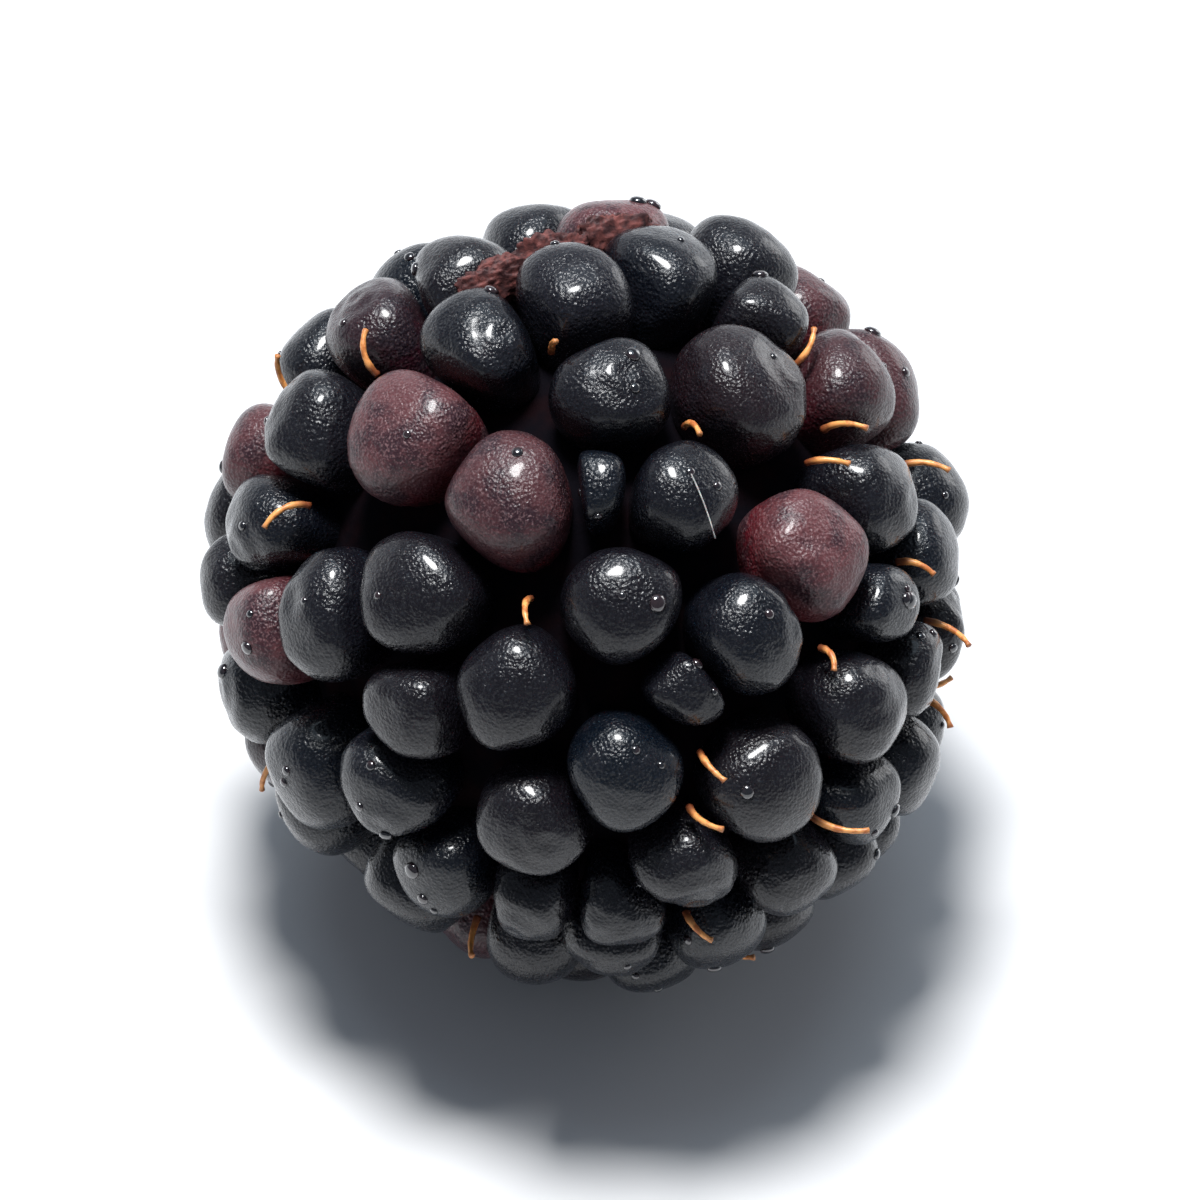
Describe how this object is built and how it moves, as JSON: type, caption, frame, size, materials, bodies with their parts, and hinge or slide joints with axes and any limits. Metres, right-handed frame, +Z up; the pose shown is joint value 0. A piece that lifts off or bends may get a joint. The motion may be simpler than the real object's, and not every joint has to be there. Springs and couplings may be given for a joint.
{
  "type": "bramble berry",
  "caption": "Picked ripe bramble berry lying on its side, its swollen black drupelets pressed together on one core, with a pale stem end and dried styles.",
  "frame": {"origin": "on the ground under the middle of the berry's bounding box", "axes": "+X towards the tip of the berry, along its length; +Y across it; +Z up"},
  "size_m": [0.0267, 0.0264, 0.0262],
  "materials": {
    "drupelet_skin": "thin satin fruit skin with a fine pebbled grain, near black with a few drupelets still wine red",
    "receptacle_flesh": "moist pale cream pith, torn and fibrous",
    "dried_style": "dry orange-brown plant hair, slightly shiny"
  },
  "bodies": {
    "root": {"berry": "drupelet_skin", "receptacle": "receptacle_flesh", "style_01": "dried_style", "style_02": "dried_style", "style_03": "dried_style", "style_04": "dried_style", "style_05": "dried_style", "style_06": "dried_style", "style_07": "dried_style", "style_08": "dried_style", "style_09": "dried_style", "style_10": "dried_style", "style_11": "dried_style", "style_12": "dried_style", "style_13": "dried_style", "style_14": "dried_style", "style_15": "dried_style", "style_16": "dried_style", "style_17": "dried_style", "style_18": "dried_style", "style_19": "dried_style", "style_20": "dried_style", "style_21": "dried_style", "style_22": "dried_style", "style_23": "dried_style", "style_24": "dried_style"}
  },
  "joints": []
}
